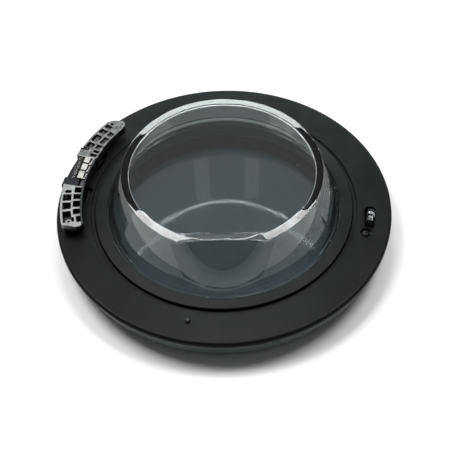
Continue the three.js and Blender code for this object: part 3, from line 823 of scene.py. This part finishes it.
def leaf_pockets():
    """The waffle of pockets: plan outline, height of the floor, corner radius and draft."""
    ladder = cells(INNER_COLUMN, (187.5, 190.5), (191, 193.8), (194.5, 197.8), (198.6, 201.5))
    ladder += cells(OUTER_COLUMN, (191.2, 194.5), (195.2, 198.6), (199.4, 205))
    ladder += cells((199.3, 206.2), (202.4, 205.6))
    ladder += cells((208.4, 212.9), (202.6, 205))
    ladder.append([polar(213, 189), polar(222.5, 189.2), polar(222.5, 190.7), polar(213, 190.7)])
    lattice = cells((212.6, 224.4), (153, 155.1), (155.9, 158.5), (159.4, 163.2), (164, 166.8))
    lattice += cells((201.8, 210.2), (155.4, 158.1), (158.9, 162.9), (163.7, 166.2))
    lattice += cells((199.4, 209.5), (168.8, 170.7))
    nooks = cells((222.2, 224.4), (156.3, 158), (160.3, 162.6), (164.3, 166.5))
    nooks += cells((213.4, 217.6), (155.9, 156.8), (159.4, 160.4), (164, 165))
    nooks += cells((201.8, 205.6), (155.4, 156.3), (158.9, 159.9), (163.7, 164.8))
    nooks += cells((200, 208.6), (166.9, 168.2))
    pockets = [(c, DEEP, 1.5, 0.9) for c in ladder] + [(c, SHALLOW, 1.5, 0.7) for c in lattice]
    return pockets + [(c, DEEP, 0.6, 0.2) for c in nooks]


def make_leaf():
    leaf = prism("hinge_leaf_fine", leaf_outline(), LEAF_FOOT, LEAF_TOP)
    cutters = []
    for corners, floor, radius, draft in leaf_pockets():
        outline = rounded([(x, y, radius) for x, y in corners], 3, hold=None)
        cutters.append(prism("pocket", outline, floor, LEAF_TOP + 3, draft=draft))
    small_holes = ((218.6, 152, 2.1), (207, 149.5, 1.2), (204.8, 151, 1.3), (209.6, 151.9, 1.1))
    for r, heading, size in small_holes:
        cutters.append(post("hole", *polar(r, heading), size, SHALLOW, ABOVE, 24))
    leaf = cut(leaf, *cutters)
    boss = polar(216.5, 204)
    leaf = join(leaf, post("boss", *boss, 4.4, LEAF_FOOT + 1, LEAF_TOP - 3))
    cutters = [post("thread", *boss, 2.1, DEEP, ABOVE, 24)]
    for y0, y1, head in ARMS:
        arm = (y0 - ARM_GAP, y1 + ARM_GAP)
        cutters.append(rod("arm_room", PIN_X, PIN_Z, head + 0.9, *arm, 48))
        cutters.append(block("arm_gap", OUTSIDE, PIN_X, *arm, BELOW, ABOVE))
    wide_arm = (ARMS[0][0] - ARM_GAP, ARMS[0][1] + ARM_GAP)
    stop_x = box_mm("leaf_stop")[1][0]
    cutters.append(block("stop_step", -214, stop_x + 0.3, *wide_arm, PIN_Z, ABOVE))
    cutters.append(block("spring_bay", OUTSIDE, BAY_X, *BAY, BELOW, ABOVE))
    leaf = cut(leaf, *cutters)
    web = [(PIN_X, PIN_Z - 5), (-209, LEAF_FOOT), (-209, LEAF_TOP - 1), (PIN_X, PIN_Z + 6.9)]
    for i in (1, 2):
        low, high = box_mm(f"hinge_bush_{i}")
        y0, y1 = low[1], high[1]
        leaf = join(leaf, rod("knuckle", PIN_X, PIN_Z, 7, y0, y1, 48), side_prism("web", web, y0, y1))
        leaf = cut(leaf, rod("bush_bore", PIN_X, PIN_Z, 4.9, y0 - 0.4, y1 + 0.4))
    cutters = [rod("pin_bore", PIN_X, PIN_Z, 3.5, -75, box_mm("hinge_pin")[1][1] + 1)]
    for i in (1, 2):
        y = box_mm(f"pin_clip_{i}")[0][1]
        cutters.append(rod("clip_room", PIN_X, PIN_Z, 6, y - 0.4, y + 2.2))
    cutters += [block("pad_gap", -213, -203.2, y - 1.3, y + 1.3, DEEP, ABOVE) for y in (5.5, 19.5)]
    cutters.append(block("pad_slot", -203.2, -201.7, -8.4, 29.8, DEEP, ABOVE))
    for y in (-1.5, 12.5, 25.5):
        cutters.append(block("pad_cell", -203, -199, y - 5, y + 5, LEAF_TOP - 2.5, ABOVE))
    leaf = cut(leaf, *cutters)
    tidy(leaf)
    soften(leaf, 0.6, 3, 38)
    place(leaf, "hinge_leaf", CASTING, "hinge_leaf")
    low, high = box_mm("leaf_stop")
    stop = block("leaf_stop_fine", low[0], high[0], low[1], high[1], low[2], high[2])
    soften(stop, 0.7, 3)
    place(stop, "leaf_stop", RUBBER, "hinge_leaf")


def make_bracket():
    bracket = prism("hinge_bracket_fine", sector(199.5, 218.5, 150, 200, 60), 34, PLATE_UNDER - 0.3)
    bracket = combine(bracket, [block("limits", -230, -150, -54, 79, 0, 60)], "INTERSECT")
    web = [(-211.8, 35), (-200.2, 35), (-200.2, 44.5), (-206.5, 49.8), (-211.5, 52.4), (-217, 52.4),
           (-211.8, 46.5)]
    for y0, y1, radius in ARMS:
        head = rod("head", PIN_X, PIN_Z, radius, y0, y1, 64)
        head = cut(head, block("flat", OUTSIDE, -190, y0 - 1, y1 + 1, ARM_TOP, ABOVE))
        bracket = join(bracket, side_prism("web", web, y0, y1), head)
    holes = [rod("pin_hole", PIN_X, PIN_Z, 3.3, -40, 60)]
    for i in range(4):
        holes.append(post("hole", *centre_mm(f"bracket_screw_{i + 1}"), 2.3, 30, 60))
    bracket = cut(bracket, *holes)
    tidy(bracket)
    soften(bracket, 0.6)
    place(bracket, "hinge_bracket", BLACK_CASTING)


def make_pin_parts():
    low, high = box_mm("hinge_pin")
    pin = rod("hinge_pin_fine", PIN_X, PIN_Z, 3, low[1], high[1], 48)
    soften(pin, 0.5)
    place(pin, "hinge_pin", STEEL)
    for i in (1, 2):
        node = f"hinge_bush_{i}"
        low, high = box_mm(node)
        bush = rod(f"{node}_fine", PIN_X, PIN_Z, 4.6, low[1], high[1], 48)
        bush = cut(bush, rod("bore", PIN_X, PIN_Z, 3.3, low[1] - 1, high[1] + 1))
        soften(bush, 0.25)
        place(bush, node, NYLON, "hinge_leaf")
        node = f"pin_clip_{i}"
        low, high = box_mm(node)
        clip = rod(f"{node}_fine", PIN_X, PIN_Z, 5.2, low[1], high[1], 48)
        through = (low[1] - 1, high[1] + 1)
        mouth = block("mouth", PIN_X - 1.8, PIN_X + 1.8, *through, PIN_Z, PIN_Z + 8)
        clip = cut(clip, rod("bore", PIN_X, PIN_Z, 3.3, *through), mouth)
        soften(clip, 0.2)
        place(clip, node, STEEL)
    low, high = box_mm("hinge_spring")
    spring = helix("hinge_spring_fine", PIN_X, PIN_Z, 4.4, 1.5, low[1], high[1], 9)
    smooth(spring)
    place(spring, "hinge_spring", DARK_STEEL)


# ---------------------------------------------------------------- latch
def mirrored(right_side):
    """Side outline about the hook's middle, from the (offset, z, radius) corners on its right."""
    left_side = [(-x, z, r) for x, z, r in right_side[::-1]]
    return [(HOOK_X + x, z, r) for x, z, r in left_side[-1:] + right_side + left_side[:-1]]


def make_hook():
    top = box_mm("latch_hook")[1][2]
    z = PLATE_Z
    heel = HOOK_PIVOT_Z - 4.2
    lever = mirrored([(4.2, heel, 4), (4, z - 6, 3), (4.9, z, 3), (5.5, top - 6, 3), (2.9, top, 1.6)])
    hook = side_prism("latch_hook_fine", rounded(lever, 5, hold=None), 7, 11)
    window = mirrored([(3.3, top - 9.4, 1), (2.5, top - 3, 1.2)])
    window = side_prism("window", rounded(window, 4, hold=None), 5, 13)
    hook = cut(hook, window, rod("bore", HOOK_X, HOOK_PIVOT_Z, 2.3, 5, 13))
    tooth = block("tooth", HOOK_X - 3.6, HOOK_X + 3.6, 3.7, 7.5, top - 16, top - 10)
    hook = join(hook, tooth)
    tidy(hook)
    soften(hook, 0.45, 3)
    place(hook, "latch_hook", STEEL, "latch_hook")
    low, high = box_mm("latch_spring")
    spring = helix("latch_spring_fine", HOOK_X, HOOK_PIVOT_Z, 3.5, 0.9, low[1], high[1], 2)
    smooth(spring)
    place(spring, "latch_spring", STEEL)
    low, high = box_mm("latch_pin")
    pin = rod("latch_pin_fine", HOOK_X, HOOK_PIVOT_Z, 2, low[1], high[1])
    soften(pin, 0.3)
    place(pin, "latch_pin", STEEL)


def make_latch_case():
    top = PLATE_UNDER - 2.9
    wide = (199, 210)
    case = block("latch_case_fine", *wide, -17, 41, 29, top)
    case = join(case, block("well", *wide, -1, 19.4, 17, top))
    case = join(case, block("deck", *wide, 19.4, 41, 34, PLATE_UNDER - 0.3))
    case = cut(case, block("slot", 198, 211, 3, 15.4, 19.4, 60),
               rod("pin_bore", HOOK_X, HOOK_PIVOT_Z, 2.3, 0, 20.4))
    case = join(case, block("stop", 207.4, 210, 2, 16.4, 17, 22))
    case = cut(case, post("pilot", *centre_mm("latch_screw"), 1.9, 24, 60))
    tidy(case)
    soften(case, 0.4)
    place(case, "latch_case", INNER_PLASTIC)


# ---------------------------------------------------------------- screws and buffers
def make_screw(node, head_r, head_h, shank_r, material, head_up=True):
    """Pan-head screw with a cross recess and a thread, in place of a CAD screw."""
    low, high = box_mm(node)
    length = high[2] - low[2] - head_h
    pitch, root_r, neck_r = 1.1, shank_r * 0.78, shank_r * 0.9
    outline = [(0, -length), (shank_r * 0.6, -length)]
    z = -length + 0.8
    while z < -0.9:
        outline += [(root_r, z), (shank_r, z + pitch * 0.35), (root_r, z + pitch * 0.7)]
        z += pitch
    outline.append((neck_r, -0.3))
    head = rounded([(neck_r, 0, 0), (head_r, 0, 0.3), (head_r, head_h * 0.5, 0.8),
                    (head_r * 0.62, head_h, 2), (0, head_h, 0)], 5, closed=False, hold=None)
    screw = lathe(f"{node}_fine", outline + head, 32, closed=False)
    arm, half, deep = head_r * 0.5, 0.45, head_h * 0.35
    screw = cut(screw, block("recess", -arm, arm, -half, half, deep, head_h + 1),
                block("recess", -half, half, -arm, arm, deep, head_h + 1))
    tidy(screw)
    smooth(screw, 40)
    seat = high[2] - head_h
    turn = Matrix.Identity(4)
    if not head_up:
        seat = low[2] + head_h
        turn = Matrix.Rotation(math.pi, 4, "X")
    screw.data.transform(Matrix.Translation(Vector((*centre_mm(node), seat)) * MM) @ turn)
    place(screw, node, material)


def make_screws():
    for i in range(4):
        make_screw(f"bracket_screw_{i + 1}", 4.4, 2.6, 1.9, STEEL)
    for i in range(8):
        make_screw(f"retainer_screw_{i + 1}", 4, 2.2, 1.5, STEEL, head_up=False)
    make_screw("latch_screw", 4.8, 2.6, 1.5, SCREW_STEEL)


def make_buffers():
    low, high = box_mm("door_buffer")
    _, y = centre_mm("door_buffer")
    outline = rounded([
        (0, low[2], 0), (4.8, low[2], 0.4), (4.8, 40.6, 0.4), (3.2, 40.9, 0.3), (3.2, 45.6, 1),
        (1.9, high[2], 1.6), (0, high[2], 0),
    ], 5, closed=False, hold=None)
    peg = lathe("door_buffer_fine", outline, 40, closed=False)
    peg.data.transform(Matrix.Translation(Vector((0, y, 0)) * MM))
    smooth(peg)
    place(peg, "door_buffer", RUBBER)
    for i in (1, 2):
        node = f"leaf_buffer_{i}"
        low, high = box_mm(node)
        pad = post(f"{node}_fine", *centre_mm(node), 4.95, low[2], high[2], 40)
        soften(pad, 1, 3)
        place(pad, node, RUBBER)


# ---------------------------------------------------------------- studio
CAMERA = {"azimuth": 15.0, "elevation": 49.27, "roll": -2.43, "yaw": -0.075, "pitch": -1.093}
CAMERA_DISTANCE = 1.504
LENS_MM, SENSOR_MM = 85.5, 36
BACK = 105  # heading of the back light and of the pale wall, in degrees from +X


def make_floor():
    """Wide plain floor, a hair below the door so that the two don't touch."""
    half, drop = 9, 0.0004
    mesh = bpy.data.meshes.new("floor")
    corners = [(-half, -half, 0), (half, -half, 0), (half, half, 0), (-half, half, 0)]
    mesh.from_pydata(corners, [], [(0, 1, 2, 3)])
    floor = bpy.data.objects.new("floor", mesh)
    bpy.context.scene.collection.objects.link(floor)
    floor.location.z = -drop
    mesh.materials.append(floor_paint())


def toward(heading, climb):
    """Direction from the door at a heading and a height above the floor, in degrees."""
    a, e = math.radians(heading), math.radians(climb)
    return Vector((math.cos(a) * math.cos(e), math.sin(a) * math.cos(e), math.sin(e)))


def make_lamp(name, heading, climb, distance, width, height, watts):
    """Softbox that looks at the door."""
    lamp = bpy.data.lights.new(name, "AREA")
    lamp.shape = "RECTANGLE"
    lamp.size, lamp.size_y = width, height
    lamp.energy = watts
    obj = bpy.data.objects.new(name, lamp)
    obj.location = toward(heading, climb) * distance
    obj.rotation_euler = (-obj.location).to_track_quat("-Z", "Y").to_euler()
    bpy.context.scene.collection.objects.link(obj)
    return obj


def make_world():
    """Dim studio that gets lighter upwards, with a soft pale patch of wall at BACK."""
    horizon, zenith, patch = 0.025, 0.16, 0.33
    # cosines of the angles from the patch's middle at which it starts and is full
    patch_edge, patch_full = 0.88, 0.96
    world = bpy.data.worlds.new("studio")
    world.use_nodes = True
    tree = world.node_tree
    direction = tree.nodes.new("ShaderNodeTexCoord").outputs["Generated"]
    split = tree.nodes.new("ShaderNodeSeparateXYZ")
    tree.links.new(direction, split.inputs[0])
    climb = map_range(tree, split.outputs["Z"], 0.0, 1.0, horizon, zenith)
    likeness = tree.nodes.new("ShaderNodeVectorMath")
    likeness.operation = "DOT_PRODUCT"
    likeness.inputs[1].default_value = toward(BACK, 50)
    tree.links.new(direction, likeness.inputs[0])
    wall = map_range(tree, likeness.outputs["Value"], patch_edge, patch_full, 0.0, patch)
    total = tree.nodes.new("ShaderNodeMath")
    tree.links.new(climb, total.inputs[0])
    tree.links.new(wall, total.inputs[1])
    background = tree.nodes["Background"]
    background.inputs["Color"].default_value = (0.92, 0.97, 1.0, 1)
    tree.links.new(total.outputs[0], background.inputs["Strength"])
    bpy.context.scene.world = world


def make_lamps():
    """Three softboxes above, a wide one low behind the door, and two thin bars that only show as
    reflections in the glass."""
    make_lamp("key_left", BACK + 60, 62, 2.3, 1.0, 1.0, 42)
    make_lamp("key_right", BACK - 60, 62, 2.3, 0.9, 0.9, 28)
    make_lamp("key_high", BACK, 66, 2.4, 0.45, 0.45, 12)
    backlight = make_lamp("backlight", BACK, 21.5, 2.4, 2.9, 0.98, 86)
    backlight.data.color = (0.93, 1.0, 1.0)
    backlight.visible_diffuse = False
    for side in (2.6, -3.8):
        make_lamp("bar", BACK + side, 50.1, 2.4, 0.05, 0.145, 0.0045)


def make_camera():
    """The camera stands off the back ring's centre, then rolls and turns a little off it."""
    azimuth, elevation, roll, yaw, pitch = (math.radians(angle) for angle in CAMERA.values())
    back = Vector((0, -math.cos(elevation), math.sin(elevation)))
    right = Vector((1, 0, 0))
    up = back.cross(right)
    side = right * math.cos(roll) + up * math.sin(roll)
    over = -right * math.sin(roll) + up * math.cos(roll)
    ahead = -back * math.cos(yaw) - side * math.sin(yaw)
    side = side * math.cos(yaw) - back * math.sin(yaw)
    view = ahead * math.cos(pitch) + over * math.sin(pitch)
    over = over * math.cos(pitch) - ahead * math.sin(pitch)
    turn = Matrix.Rotation(azimuth, 3, "Z")
    rotation = Matrix((side, over, -view)).transposed()
    data = bpy.data.cameras.new("camera")
    data.lens = LENS_MM
    data.sensor_width = SENSOR_MM
    camera = bpy.data.objects.new("camera", data)
    stand = turn @ back * CAMERA_DISTANCE + Vector((0, 0, PLATE_Z * MM))
    camera.matrix_world = Matrix.Translation(stand) @ (turn @ rotation).to_4x4()
    bpy.context.scene.collection.objects.link(camera)
    bpy.context.scene.camera = camera


make_camera()
make_world()
make_lamps()
make_floor()
make_back_ring()
make_front_ring()
make_glass_retainer()
make_gaskets()
make_screen()
make_bowl()
make_leaf()
make_bracket()
make_pin_parts()
make_hook()
make_latch_case()
make_screws()
make_buffers()

bpy.context.scene.view_settings.view_transform = "Standard"
